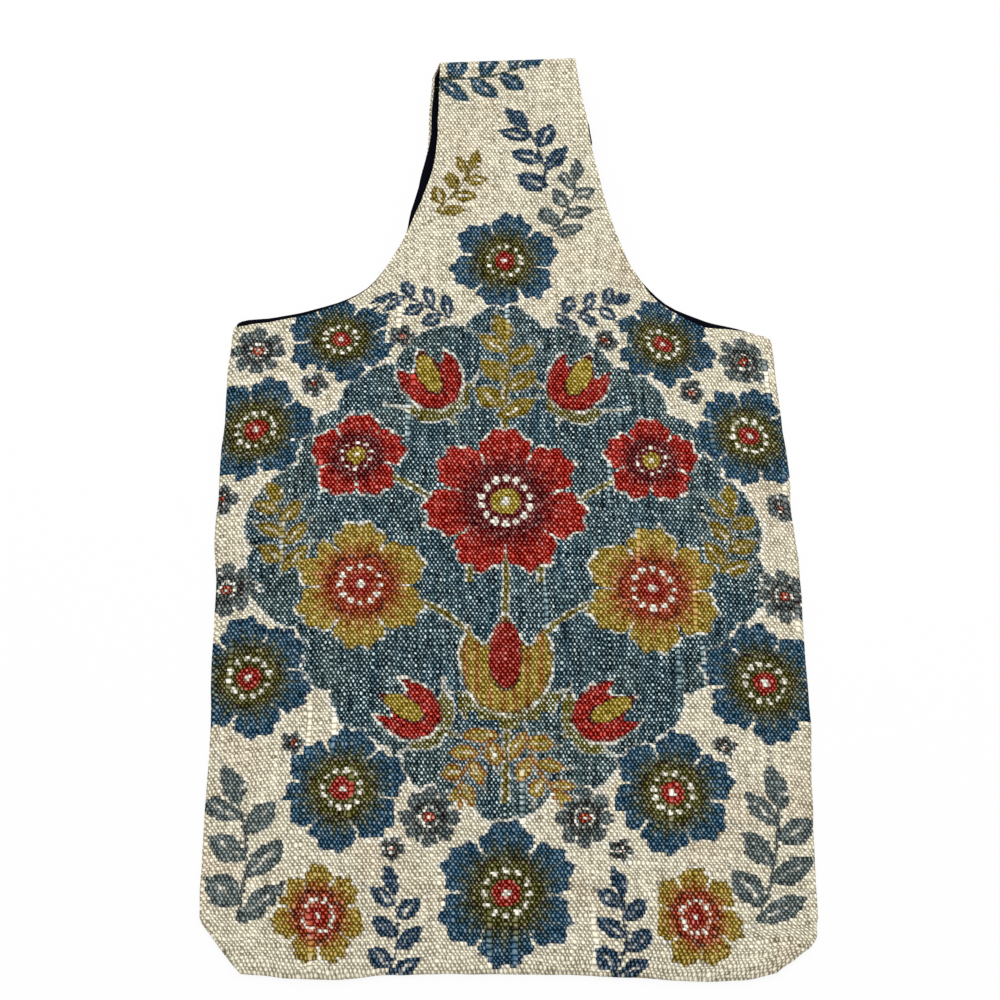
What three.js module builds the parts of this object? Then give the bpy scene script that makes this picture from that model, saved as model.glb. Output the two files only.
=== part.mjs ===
// A lined cloth bag with one wide strap, lying flat on its back.
// Millimetres, +Z up, +X to the right of the bag's front, +Y from the bottom seam to the strap.
// The front and the back are each an outer ply and a lining ply. They are sewn together along
// the sides, the bottom and the boxed corners, and stay open along the two mouth edges. The
// strap grows out of both and is folded over at its top, so it makes one loop.
import * as THREE from 'three';

// Body
const BODY_WIDTH = 230; // between the two side seams
const BODY_HEIGHT = 267; // from the bottom seam to the top of the side seams
const CORNER_WIDTH = 15; // what a boxed corner takes off the bottom edge
const CORNER_HEIGHT = 20; // what a boxed corner takes off the side
const CORNER_ROUND = 1.4; // 1 is a straight cut across the corner, more is rounder

// Strap and mouth edges
const STRAP_LENGTH = 142; // from the top of the side seams to the fold
const STRAP_WIDTH = 62; // across the fold
const STRAP_ROOT = 52; // from the top of the side seams to the line where the strap bends
const MOUTH_SWEEP = 18.5; // rise in which a mouth edge draws in by half
const MOUTH_CLOSE = 1.2; // how firmly the mouth edge settles on the strap's own width
const MOUTH_REVEAL = 1.5; // how far the back's mouth edges stand above the front's
const STRAP_REVEAL = 3.5; // how far the back of the strap shows at the front's left
const BEND_GAP = 0.3; // clearance between the body and the strap at the bend line
const JOIN_DROP = 6; // from the fold to the seam that joins the strap's two ends

// Cloth and thread
const OUTER_CLOTH = 0.9; // thickness of the printed cloth
const LINING_CLOTH = 0.5; // thickness of the lining
const THREAD = 0.3; // thickness of a row of stitches
const THREAD_WIDTH = 0.5; // width of a row of stitches
const PLY_GAP = 0.3; // air between two plies
const THREAD_GAP = 0.15; // air between a row of stitches and the ply over or under it
const SEAM_INSET = 4; // the lining is cut this much smaller at the seams
const MOUTH_INSET = 2; // and this much at the mouth and strap edges
const EDGE_STITCH = 1.6; // from the edge of the outer to the stitches of its seams
const MOUTH_STITCH = 0.6; // from a mouth or strap edge to its stitches
const LINING_STITCH = 5; // from the edge of the lining to the stitches of its seams
const STITCH_BREAK = 0.3; // clear length between two rows of stitches that meet

// Room inside
const POCKET_DEPTH = 10; // clear height in the middle of the pocket
const POCKET_EASE = 60; // distance from a seam to where the pocket has its full height
const LOOP_GAP = 5.5; // clear height between the strap's two legs
const TURNING_GAP = 70; // hand-closed length of the lining's bottom seam

// Colours and finish
const PRINT_COLOUR = 0xcabfa6;
const LINING_COLOUR = 0x14161f;
const CREAM_THREAD = 0xd8cfb8;
const NAVY_THREAD = 0x1b1d28;
const CLOTH_ROUGHNESS = 0.9;

// Places that follow from the sizes
const HALF_BODY = BODY_WIDTH / 2;
const HALF_STRAP = STRAP_WIDTH / 2;
const TOTAL_HEIGHT = BODY_HEIGHT + STRAP_LENGTH;
const BEND_LINE = BODY_HEIGHT + STRAP_ROOT;
const PLY_STACK = OUTER_CLOTH + PLY_GAP + LINING_CLOTH; // outer and lining together
const STRAP_STACK = 2 * PLY_STACK + LOOP_GAP;
const FOLD_RADIUS = STRAP_STACK / 2;
const FOLD_LINE = TOTAL_HEIGHT - FOLD_RADIUS;

// Fineness of the grids
const BODY_ROWS = 9;
const MOUTH_ROWS = 8;
const LEG_ROWS = 4;
const FOLD_STEPS = 8;
const FRONT_SHARES = [1, 0.86, 0.7, 0.52, 0.28]; // columns of the crowned front, out from the middle
const FLAT_SHARES = [1]; // the back lies flat and needs no more

const mix = (a, b, share) => a + (b - a) * share;
const clamp = (value) => Math.min(1, Math.max(0, value));
const easeOut = (share) => 1 - (1 - clamp(share)) ** 2;
const smooth = (share) => clamp(share) ** 2 * (3 - 2 * clamp(share));

// Half the width of the front at a height: boxed corner, straight side, then the mouth edge.
function frontHalfWidth(y) {
  if (y < CORNER_HEIGHT) return HALF_BODY - CORNER_WIDTH * (1 - y / CORNER_HEIGHT) ** CORNER_ROUND;
  if (y <= BODY_HEIGHT) return HALF_BODY;
  const rise = Math.min(y, TOTAL_HEIGHT) - BODY_HEIGHT;
  const drawIn = (1 - rise / STRAP_LENGTH) ** MOUTH_CLOSE / (1 + rise / MOUTH_SWEEP);
  return mix(HALF_STRAP, HALF_BODY, drawIn);
}

// The back stands a little above the front at the mouth and shows at the strap's left.
function backHalfWidth(y, side) {
  const own = frontHalfWidth(y < BODY_HEIGHT ? y : Math.max(BODY_HEIGHT, y - MOUTH_REVEAL));
  return own + (side < 0 ? STRAP_REVEAL * smooth((y - BODY_HEIGHT - MOUTH_REVEAL) / STRAP_ROOT) : 0);
}

const lineInset = (y) => (y <= BODY_HEIGHT ? SEAM_INSET : MOUTH_INSET);

// The places across a row: edge, lining edge, columns to the middle and out again.
function columnPlaces(left, right, inset, shares) {
  const outLeft = [-left, ...shares.map((share) => -(left - inset) * share)];
  const outRight = [right, ...shares.map((share) => (right - inset) * share)];
  return [...outLeft, ...(shares.length > 1 ? [0] : []), ...outRight.reverse()];
}

// Distance from the nearest side seam and from the bottom seam.
const fromSide = (x, y) => (y <= BODY_HEIGHT ? frontHalfWidth(y) : HALF_BODY) - Math.abs(x);

// Clear height between the two linings.
function clearHeight(x, y) {
  const towardsBend = (y - BODY_HEIGHT + POCKET_EASE) / (POCKET_EASE + STRAP_ROOT);
  const depth = mix(POCKET_DEPTH, LOOP_GAP, smooth(towardsBend));
  const sideOpen = easeOut((fromSide(x, y) - SEAM_INSET) / POCKET_EASE);
  const bottomOpen = easeOut((y - SEAM_INSET) / POCKET_EASE);
  return mix(PLY_GAP, depth, sideOpen * bottomOpen);
}

const frontLiningUnder = (x, y) => PLY_STACK + clearHeight(x, y);

// The outer front rests on the outer back at the seams and on its own lining elsewhere.
function frontOuterUnder(x, y) {
  const onLining = frontLiningUnder(x, y) + LINING_CLOTH + PLY_GAP;
  const offSeam = clamp(Math.min(fromSide(x, y), y) / SEAM_INSET);
  return mix(OUTER_CLOTH + PLY_GAP, onLining, offSeam);
}

// Rows of the body, from the bottom seam to the bend line.
const midCorner = (SEAM_INSET + CORNER_HEIGHT) / 2;
const bodyRows = [0, SEAM_INSET, midCorner];
for (let i = 0; i < BODY_ROWS; i += 1) bodyRows.push(mix(CORNER_HEIGHT, BODY_HEIGHT, i / BODY_ROWS));
const mouthRows = [];
const mouthRise = STRAP_ROOT - BEND_GAP / 2;
for (let i = 0; i <= MOUTH_ROWS; i += 1) mouthRows.push(BODY_HEIGHT + mouthRise * (i / MOUTH_ROWS) ** 2);
const panelRows = [...bodyRows, ...mouthRows];

// A closed slab over a grid, between its inner face and its outer face.
function slab(rowCount, columnCount, inner, outer) {
  const positions = [];
  for (const face of [inner, outer]) {
    for (let row = 0; row < rowCount; row += 1) {
      for (let column = 0; column < columnCount; column += 1) positions.push(...face(row, column));
    }
  }
  const at = (face, row, column) => (face * rowCount + row) * columnCount + column;
  const index = [];
  const quad = (a, b, c, d) => index.push(a, b, c, a, c, d);
  for (let row = 0; row + 1 < rowCount; row += 1) {
    for (let column = 0; column + 1 < columnCount; column += 1) {
      quad(at(1, row, column), at(1, row, column + 1), at(1, row + 1, column + 1), at(1, row + 1, column));
      index.push(at(0, row, column), at(0, row + 1, column + 1), at(0, row, column + 1));
      index.push(at(0, row, column), at(0, row + 1, column), at(0, row + 1, column + 1));
    }
  }
  const end = rowCount - 1;
  const side = columnCount - 1;
  for (let column = 0; column < side; column += 1) {
    quad(at(0, 0, column), at(0, 0, column + 1), at(1, 0, column + 1), at(1, 0, column));
    quad(at(0, end, column + 1), at(0, end, column), at(1, end, column), at(1, end, column + 1));
  }
  for (let row = 0; row < end; row += 1) {
    quad(at(0, row + 1, 0), at(0, row, 0), at(1, row, 0), at(1, row + 1, 0));
    quad(at(0, row, side), at(0, row + 1, side), at(1, row + 1, side), at(1, row, side));
  }
  const geometry = new THREE.BufferGeometry();
  geometry.setAttribute('position', new THREE.Float32BufferAttribute(positions, 3));
  geometry.setIndex(index);
  geometry.computeVertexNormals();
  return geometry;
}

const bag = new THREE.Group();
bag.position.y = -TOTAL_HEIGHT / 2;

function addPiece(name, geometry, color) {
  const material = new THREE.MeshStandardMaterial({ color, roughness: CLOTH_ROUGHNESS, metalness: 0 });
  const mesh = new THREE.Mesh(geometry, material);
  mesh.name = name;
  bag.add(mesh);
}

// A body ply. The lining leaves out the outermost columns and the lowest row of the same grid.
function panel(halfWidth, shares, isLining, under, thickness) {
  const rows = isLining ? panelRows.slice(1) : panelRows;
  const grid = rows.map((y) => {
    const places = columnPlaces(halfWidth(y, -1), halfWidth(y, 1), lineInset(y), shares);
    return (isLining ? places.slice(1, -1) : places).map((x) => [x, y, under(x, y)]);
  });
  const lifted = (row, column) => {
    const [x, y, z] = grid[row][column];
    return [x, y, z + thickness];
  };
  return slab(rows.length, grid[0].length, (row, column) => grid[row][column], lifted);
}

const backOuterUnder = () => 0;
const backLiningUnder = () => OUTER_CLOTH + PLY_GAP;
const backOuter = panel(backHalfWidth, FLAT_SHARES, false, backOuterUnder, OUTER_CLOTH);
const backLining = panel(backHalfWidth, FLAT_SHARES, true, backLiningUnder, LINING_CLOTH);
const frontLining = panel(frontHalfWidth, FRONT_SHARES, true, frontLiningUnder, LINING_CLOTH);
const frontOuter = panel(frontHalfWidth, FRONT_SHARES, false, frontOuterUnder, OUTER_CLOTH);
addPiece('outer_back_panel', backOuter, PRINT_COLOUR);
addPiece('lining_back_panel', backLining, LINING_COLOUR);
addPiece('lining_front_panel', frontLining, LINING_COLOUR);
addPiece('outer_front_panel', frontOuter, PRINT_COLOUR);

// Stations along the strap: up the front leg, round the fold and down the back leg.
// Each has its height, the way its outer face looks, and its share of the back's width.
const frontLeg = [];
const backLeg = [];
for (let i = 0; i < LEG_ROWS; i += 1) {
  const y = mix(BEND_LINE + BEND_GAP / 2, FOLD_LINE, i / LEG_ROWS);
  frontLeg.push({ y, turn: 0 });
  backLeg.unshift({ y, turn: Math.PI });
}
const fold = [];
for (let i = 0; i <= FOLD_STEPS; i += 1) fold.push({ y: FOLD_LINE, turn: (Math.PI * i) / FOLD_STEPS });
const joinLine = { y: FOLD_LINE - JOIN_DROP, turn: Math.PI };
const joinHalf = THREAD_WIDTH / 2 + PLY_GAP;
const joinUpper = { y: joinLine.y + joinHalf, turn: Math.PI };
const joinLower = { y: joinLine.y - joinHalf, turn: Math.PI };
const belowJoin = backLeg.filter(({ y }) => y < joinLower.y);
const frontStations = [...frontLeg, ...fold, joinUpper];
const backStations = [joinLower, ...belowJoin];

// Half the strap's width at a station. It changes from the front's to the back's round the fold.
function stationHalfWidth({ y, turn }, side) {
  return mix(frontHalfWidth(y), backHalfWidth(y, side), turn / Math.PI);
}

function stationPoint({ y, turn }, x, radius) {
  return [x, y + Math.sin(turn) * radius, FOLD_RADIUS + Math.cos(turn) * radius];
}

function strapPly(stations, inset, outerRadius, thickness) {
  const rows = stations.map((station) => {
    const left = stationHalfWidth(station, -1) - inset;
    const right = stationHalfWidth(station, 1) - inset;
    return [-left, 0, right].map((x) => [station, x]);
  });
  const faceAt = (radius) => (row, column) => stationPoint(...rows[row][column], radius);
  return slab(rows.length, rows[0].length, faceAt(outerRadius - thickness), faceAt(outerRadius));
}

const liningRadius = FOLD_RADIUS - OUTER_CLOTH - PLY_GAP;
const strapLining = (stations) => strapPly(stations, MOUTH_INSET, liningRadius, LINING_CLOTH);
addPiece('outer_front_strap', strapPly(frontStations, 0, FOLD_RADIUS, OUTER_CLOTH), PRINT_COLOUR);
addPiece('outer_back_strap', strapPly(backStations, 0, FOLD_RADIUS, OUTER_CLOTH), PRINT_COLOUR);
addPiece('lining_front_strap', strapLining(frontStations), LINING_COLOUR);
addPiece('lining_back_strap', strapLining(backStations), LINING_COLOUR);

// A row of stitches along one side of a grid: rows of a near and a far point on its under face.
function stitchRow(rows, rise) {
  const lifted = (row, column) => {
    const [x, y, z] = rows[row][column];
    return [x, y, z + rise];
  };
  return slab(rows.length, 2, (row, column) => rows[row][column], lifted);
}

const sideNames = [[-1, 'left'], [1, 'right']];
const acrossOrder = (side, near, far) => (side < 0 ? [near, far] : [far, near]);

// The outer seams run just inside the edge, between the outer back and the outer front.
const outerStitchLevel = OUTER_CLOTH + THREAD_GAP;

function edgeStitch(side, heights, inset, level) {
  const rows = heights.map((y) => {
    const near = [side * (frontHalfWidth(y) - inset), y, level];
    const far = [side * (frontHalfWidth(y) - inset - THREAD_WIDTH), y, level];
    return acrossOrder(side, near, far);
  });
  return stitchRow(rows, THREAD);
}

const outerStitch = (side, heights) => edgeStitch(side, heights, EDGE_STITCH, outerStitchLevel);
const sideHeights = [CORNER_HEIGHT + STITCH_BREAK, BODY_HEIGHT - EDGE_STITCH];
const cornerHeights = [SEAM_INSET, midCorner, CORNER_HEIGHT - STITCH_BREAK];
for (const [side, word] of sideNames) {
  addPiece(`outer_side_seam_${word}`, outerStitch(side, sideHeights), CREAM_THREAD);
  addPiece(`outer_corner_seam_${word}`, outerStitch(side, cornerHeights), CREAM_THREAD);
}

function levelStitch(fromX, toX, y, level) {
  const rows = [y, y + THREAD_WIDTH].map((height) => [[fromX, height, level], [toX, height, level]]);
  return stitchRow(rows, THREAD);
}

const bottomReach = frontHalfWidth(EDGE_STITCH) - SEAM_INSET;
const bottomSeam = levelStitch(-bottomReach, bottomReach, EDGE_STITCH, outerStitchLevel);
addPiece('outer_bottom_seam', bottomSeam, CREAM_THREAD);

// The lining seams run the same way between the two linings.
const liningStitchLevel = PLY_STACK + THREAD_GAP;
const liningInset = SEAM_INSET + LINING_STITCH;
const liningStitch = (side, heights) => edgeStitch(side, heights, liningInset, liningStitchLevel);
const liningSideHeights = [CORNER_HEIGHT + STITCH_BREAK, BODY_HEIGHT - SEAM_INSET];
const liningCornerHeights = [midCorner + STITCH_BREAK, CORNER_HEIGHT - STITCH_BREAK];
for (const [side, word] of sideNames) {
  addPiece(`lining_side_seam_${word}`, liningStitch(side, liningSideHeights), NAVY_THREAD);
  addPiece(`lining_corner_seam_${word}`, liningStitch(side, liningCornerHeights), NAVY_THREAD);
}

// The lining's bottom seam is left open in the middle to turn the bag, then closed by hand.
const liningBottomReach = frontHalfWidth(liningInset) - CORNER_HEIGHT - LINING_STITCH;
const turningHalf = TURNING_GAP / 2;
for (const [side, word] of sideNames) {
  const ends = [side * (turningHalf + STITCH_BREAK), side * liningBottomReach].sort((a, b) => a - b);
  const seam = levelStitch(...ends, liningInset, liningStitchLevel);
  addPiece(`lining_bottom_seam_${word}`, seam, NAVY_THREAD);
}
const turningSeam = levelStitch(-turningHalf, turningHalf, liningInset, liningStitchLevel);
addPiece('lining_turning_stitch', turningSeam, NAVY_THREAD);

// The mouth seams join outer and lining along the open edges, under the outer and beside the lining.
function mouthStitch(side, halfWidth, level) {
  const rows = mouthRows.slice(2).map((y) => {
    const edge = halfWidth(y, side);
    const pair = [edge - MOUTH_STITCH, edge - MOUTH_STITCH - THREAD_WIDTH];
    const [near, far] = pair.map((place) => [side * place, y, level(side * edge, y)]);
    return acrossOrder(side, near, far);
  });
  return stitchRow(rows, THREAD);
}

const underFront = (x, y) => frontOuterUnder(x, y) - THREAD_GAP - THREAD;
const overBack = () => OUTER_CLOTH + THREAD_GAP;
for (const [side, word] of sideNames) {
  addPiece(`mouth_seam_front_${word}`, mouthStitch(side, frontHalfWidth, underFront), NAVY_THREAD);
  addPiece(`mouth_seam_back_${word}`, mouthStitch(side, backHalfWidth, overBack), NAVY_THREAD);
}

// The same seams go on along the strap's edges, over the fold and down its back leg.
const edgeStations = [...frontLeg, ...fold, ...backLeg];
const edgeStitchRadius = FOLD_RADIUS - OUTER_CLOTH - THREAD_GAP;

function strapEdgeStitch(side) {
  const rows = edgeStations.map((station) => {
    const edge = stationHalfWidth(station, side);
    const near = [station, side * (edge - MOUTH_STITCH)];
    const far = [station, side * (edge - MOUTH_STITCH - THREAD_WIDTH)];
    return acrossOrder(side, near, far);
  });
  const faceAt = (radius) => (row, column) => stationPoint(...rows[row][column], radius);
  return slab(rows.length, 2, faceAt(edgeStitchRadius - THREAD), faceAt(edgeStitchRadius));
}

for (const [side, word] of sideNames) {
  addPiece(`strap_edge_seam_${word}`, strapEdgeStitch(side), NAVY_THREAD);
}

// The strap's two ends are joined across its back leg, just under the fold.
function joinStitch(outerRadius, thickness, inset) {
  const middle = outerRadius - thickness / 2;
  const left = stationHalfWidth(joinLine, -1) - inset;
  const right = stationHalfWidth(joinLine, 1) - inset;
  const rows = [joinLine.y - THREAD_WIDTH / 2, joinLine.y + THREAD_WIDTH / 2].map((y) => {
    const level = FOLD_RADIUS - middle - THREAD / 2;
    return [[-left, y, level], [right, y, level]];
  });
  return stitchRow(rows, THREAD);
}

const joinInset = MOUTH_INSET + PLY_GAP;
addPiece('outer_strap_join', joinStitch(FOLD_RADIUS, OUTER_CLOTH, joinInset), CREAM_THREAD);
addPiece('lining_strap_join', joinStitch(liningRadius, LINING_CLOTH, joinInset), NAVY_THREAD);

export default bag;
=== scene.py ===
import math
from types import SimpleNamespace

import bpy
import numpy as np
from mathutils import Matrix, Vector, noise


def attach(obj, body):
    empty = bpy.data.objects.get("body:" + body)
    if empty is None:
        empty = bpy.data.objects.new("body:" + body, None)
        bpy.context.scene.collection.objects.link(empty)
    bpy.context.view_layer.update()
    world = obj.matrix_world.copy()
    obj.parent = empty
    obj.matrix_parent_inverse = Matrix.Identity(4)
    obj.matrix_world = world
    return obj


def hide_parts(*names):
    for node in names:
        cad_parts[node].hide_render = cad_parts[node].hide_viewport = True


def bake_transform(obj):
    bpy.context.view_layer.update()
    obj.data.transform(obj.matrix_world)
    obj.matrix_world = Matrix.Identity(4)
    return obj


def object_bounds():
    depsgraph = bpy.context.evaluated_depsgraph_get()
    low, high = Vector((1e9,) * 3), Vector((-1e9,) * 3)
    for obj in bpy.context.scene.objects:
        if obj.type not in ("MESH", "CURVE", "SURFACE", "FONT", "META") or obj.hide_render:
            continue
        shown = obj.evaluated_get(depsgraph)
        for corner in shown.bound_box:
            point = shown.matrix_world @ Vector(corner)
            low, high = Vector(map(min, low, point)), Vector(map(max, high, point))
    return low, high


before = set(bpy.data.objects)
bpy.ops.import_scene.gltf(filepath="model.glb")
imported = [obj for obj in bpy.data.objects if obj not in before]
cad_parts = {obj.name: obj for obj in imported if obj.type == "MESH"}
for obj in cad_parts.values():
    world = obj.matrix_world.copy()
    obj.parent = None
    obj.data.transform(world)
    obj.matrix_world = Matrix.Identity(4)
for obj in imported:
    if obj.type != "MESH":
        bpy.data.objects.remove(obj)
cad_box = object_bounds()

# Camera: the bag lies on a table and is seen from above and a little from its bottom end.
# The camera is turned slightly about the upright and about its own line of sight.
CAMERA_PLACE = (-0.0306, -0.3164, 0.6704)
CAMERA_TILT = math.radians(24.35)
CAMERA_TURN = math.radians(5.23)
CAMERA_ROLL = math.radians(5.67)
PHOTO_SIDE_PIXELS = 1000
FOCAL_LENGTH_PIXELS = 1800
SENSOR_WIDTH = 36
camera = bpy.data.objects.new("photo_camera", bpy.data.cameras.new("photo_camera"))
bpy.context.collection.objects.link(camera)
camera.data.sensor_width = SENSOR_WIDTH
camera.data.lens = SENSOR_WIDTH * FOCAL_LENGTH_PIXELS / PHOTO_SIDE_PIXELS
camera.matrix_world = (
    Matrix.Translation(CAMERA_PLACE)
    @ Matrix.Rotation(-CAMERA_TURN, 4, "Z")
    @ Matrix.Rotation(CAMERA_TILT, 4, "X")
    @ Matrix.Rotation(CAMERA_ROLL, 4, "Z")
)
bpy.context.scene.camera = camera

# Outer cloth: two cuts of coarse printed plain weave, each with its body and half of the strap.
# They are sewn together at the sides and the bottom, and the strap's ends are joined behind its fold.
# Sizes are in millimetres, with heights measured up from the bottom seam.
METRES_PER_MM = 0.001
BODY_WIDTH = 230
BODY_HEIGHT = 267
CORNER_WIDTH = 15
CORNER_HEIGHT = 20
CORNER_ROUND = 1.4
SHOULDER_ROUND = 2.5
STRAP_WIDTH = 62
STRAP_LENGTH = 142
MOUTH_SWEEP = 18.5
MOUTH_CLOSE = 1.2
BEND_LINE = 319
JOIN_DROP = 6
OUTER_CLOTH = 0.9
LINING_CLOTH = 0.5
PLY_GAP = 0.3
SEAM_INSET = 4
POCKET_DEPTH = 8
POCKET_EASE = 60
LOOP_GAP = 5.5
MOUTH_PINCH = 38
EDGE_ROUND = 3.4
SEAM_AIR = 0.15
SEAM_RIDGE = 0.35
SEAM_ALLOWANCE = 9
RIPPLE = 0.55
LONG_RIPPLE = 42
SHORT_RIPPLE = 17
SHORT_RIPPLE_SHARE = 0.35
PUCKER = 0.22
PUCKER_LENGTH = 13
RIM_REACH = 0.45
RIM_TURNS = (math.pi / 4, 0, -math.pi / 4)
EDGE_STEPS = (0, 0.25, 0.6, 1.1, 1.8, 2.8, 4.2, 6.3, 9)
BAKE_MARGIN = 0.01

# Where a form comes and goes, as pairs to ease between: a height, or a distance from a seam or the mouth,
# and the share of the form that is there.
LOOP_REGION = ((285, 0), (335, 1))
RIDGE_FROM_SEAM = ((1, 0), (4, 1), (SEAM_ALLOWANCE, 1), (SEAM_ALLOWANCE + 3, 0))
RIPPLE_FROM_SEAM = ((3, 0), (21, 1))
RIPPLE_REGION = ((300, 1), (330, 0))
PUCKER_FROM_MOUTH = ((0, 1), (9, 0))
PUCKER_REGION = ((262, 0), (268, 1), (300, 1), (325, 0))
SHIFT_REGION = ((BODY_HEIGHT, 0), (BODY_HEIGHT + 7, 1))
BOW_REGION = ((BODY_HEIGHT, 1), (BODY_HEIGHT + 60, 0))
SHOULDER_REGION = ((225, 0), (265, 1), (300, 1), (330, 0))
FOLD_REGION = ((330, 0), (405, 1))
FOOT_REGION = ((0, 1), (40, 0))
FOOT_EDGE = ((0, 1), (5, 0))

# How the bag was laid down by hand, as pairs to ease between: a height or a distance out from the middle,
# and how far the cloth lies from its cut there.
LEFT_MOUTH_DROP = ((200, 0), (240, 3), (270, 3), (282, 2.2), (296, 0.9), (310, 0))
RIGHT_MOUTH_DROP = ((200, 0), (240, 0.6), (267, 1), (271, 4.2), (279, 2.8), (285, 2.4), (296, 0.3))
LEFT_FRONT_SHIFT = ((284, -0.8), (293, -2.4), (312, -2.8), (321, -2.9), (330, -3.8), (348, -4.8),
                    (366, -3.9), (374, -2.85), (400, -1.4))
RIGHT_FRONT_SHIFT = ((290, 0.4), (312, 2.2), (340, 2.6), (368, 2.2), (405, 0))
LEFT_BACK_SHIFT = ((270, 0), (276, -2.2), (284, -1), (296, -1.6), (308, -2.5), (330, 0.3), (362, 0.3),
                   (390, 2.1))
RIGHT_BACK_SHIFT = ((270, 0), (278, 0.9), (295, 1.3), (312, 0.2))
LEFT_SIDE_BOW = ((0, -3), (11, -3.6), (20, -1.8), (30, -1.3), (85, -1.4), (120, 0), (145, 0), (175, 2.4),
                 (190, 1.8), (202, 2), (222, 1.3), (238, 1.6), (267, 0.6))
RIGHT_SIDE_BOW = ((0, -2), (5, 1), (9.5, 3.1), (12, 2.5), (18, -0.3), (45, 0.2), (70, 1), (98, 2.6),
                  (120, 2.3), (160, 2.6), (190, 0.8), (201, 1.4), (228, -0.2), (245, -1.3), (267, -2.2))
FOOT_SAG = ((-105, 0), (-95, -0.3), (-82, -1.7), (-66, -2), (-42, 0), (-20, 0.4), (20, 0.4), (44, -0.5),
            (72, -1.9), (86, -1.5), (104, 1.6))
LEFT_SHOULDER_LIFT = ((48, 0), (60, -2.4), (84, 1), (98, 1.9), (110, 2.4), (116, 2.2))
RIGHT_SHOULDER_LIFT = ((55, 0), (70, -1.2), (85, 0), (100, 1.3), (112, 0.4))
FOLD_SKEW = 2.2
FOLD_DROP = 1.9
FOLD_DRAW_IN = 0.9
EDGE_WOBBLE = 0.3
WOBBLE_LENGTH = 9
WOBBLE_KEEP = 6

TOTAL_HEIGHT = BODY_HEIGHT + STRAP_LENGTH
PLY_STACK = OUTER_CLOTH + PLY_GAP + LINING_CLOTH
FOLD_RADIUS = PLY_STACK + LOOP_GAP / 2
FOLD_LINE = TOTAL_HEIGHT - FOLD_RADIUS
OUTER_FOLD = FOLD_RADIUS - OUTER_CLOTH / 2
JOIN_LINE = FOLD_LINE - JOIN_DROP


def mix(a, b, share):
    """From a to b. It takes numbers, arrays and the values of a material."""
    return a + (b - a) * share


def smooth(share):
    share = np.clip(share, 0, 1)
    return share * share * (3 - 2 * share)


def ease_out(share):
    return 1 - (1 - np.clip(share, 0, 1)) ** 2


def eased(place, stops):
    """An amount that eases from each (place, amount) stop to the next."""
    amount = stops[0][1]
    for (start, low), (end, high) in zip(stops, stops[1:]):
        amount = amount + (high - low) * smooth((place - start) / (end - start))
    return amount


def unevenness(x, y, layer):
    """Smooth noise about 0. Each layer is another slice of it."""
    return np.vectorize(lambda a, b: noise.noise((a, b, layer)))(x, y)


def outline(y):
    """Half the bag's width at a height: boxed corner, side, swept mouth edge, strap."""
    corner = CORNER_WIDTH * np.clip(1 - y / CORNER_HEIGHT, 0, 1) ** CORNER_ROUND
    rise = np.clip(y - BODY_HEIGHT, 0, STRAP_LENGTH)
    draw_in = (1 - rise / STRAP_LENGTH) ** MOUTH_CLOSE / (1 + rise / MOUTH_SWEEP)
    near_top = np.clip((y - BODY_HEIGHT) / SHOULDER_ROUND + 1, 0, 1)
    shoulder = BODY_WIDTH / 2 - SHOULDER_ROUND * (1 - np.sqrt(1 - near_top ** 2))
    return np.minimum(mix(STRAP_WIDTH / 2, BODY_WIDTH / 2, draw_in), shoulder) - corner


def front_edge(y, side):
    """Half width of the front. Its mouth lies a little below the back's, and its strap to the right."""
    drop = eased(y, LEFT_MOUTH_DROP if side < 0 else RIGHT_MOUTH_DROP)
    shift = eased(y, LEFT_FRONT_SHIFT if side < 0 else RIGHT_FRONT_SHIFT)
    return outline(y + drop) + shift * eased(y, SHIFT_REGION)


def back_edge(y, side):
    """Half width of the back, which shows at the left of the strap."""
    return outline(y) + eased(y, LEFT_BACK_SHIFT if side < 0 else RIGHT_BACK_SHIFT)


mouth_heights = np.linspace(BODY_HEIGHT, TOTAL_HEIGHT, 200)


def below_mouth(x, y):
    """Distance straight up to the mouth edge."""
    return np.interp(np.abs(x), outline(mouth_heights)[::-1], mouth_heights[::-1]) - y


def from_side(x, y):
    """Distance in from the side seam, or from the body's width above the shoulders."""
    return np.where(y <= BODY_HEIGHT, outline(y), BODY_WIDTH / 2) - np.abs(x)


def from_seam(x, y):
    """Distance in from the nearest of the side and bottom seams."""
    return np.maximum(np.minimum(from_side(x, y), y), 0)


def linings_apart(x, y):
    """Clear height between the two linings: a slack pocket, pinched at the mouth, open in the loop."""
    pocket_top = BODY_HEIGHT - POCKET_EASE
    depth = mix(POCKET_DEPTH, LOOP_GAP, smooth((y - pocket_top) / (BEND_LINE - pocket_top)))
    across_slack = ease_out((from_side(x, y) - SEAM_INSET) / POCKET_EASE)
    upward_slack = ease_out((y - SEAM_INSET) / POCKET_EASE)
    pinch = mix(smooth(below_mouth(x, y) / MOUTH_PINCH), 1, eased(y, LOOP_REGION))
    return mix(PLY_GAP, depth, across_slack * upward_slack * pinch)


def ripples(x, y):
    """Soft unevenness of the slack front, with small puckers along the mouth seams."""
    slack = eased(from_seam(x, y), RIPPLE_FROM_SEAM) * eased(y, RIPPLE_REGION)
    near_mouth = eased(below_mouth(x, y), PUCKER_FROM_MOUTH) * eased(y, PUCKER_REGION)
    puckers = np.sin(2 * np.pi * (np.abs(x) + 0.5 * y) / PUCKER_LENGTH)
    long_form = unevenness(x / LONG_RIPPLE, y / LONG_RIPPLE, 3.7)
    short_form = unevenness(x / SHORT_RIPPLE, y / SHORT_RIPPLE, 8.1)
    slack_form = long_form + SHORT_RIPPLE_SHARE * short_form
    return RIPPLE * slack * slack_form + PUCKER * near_mouth * puckers


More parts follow.
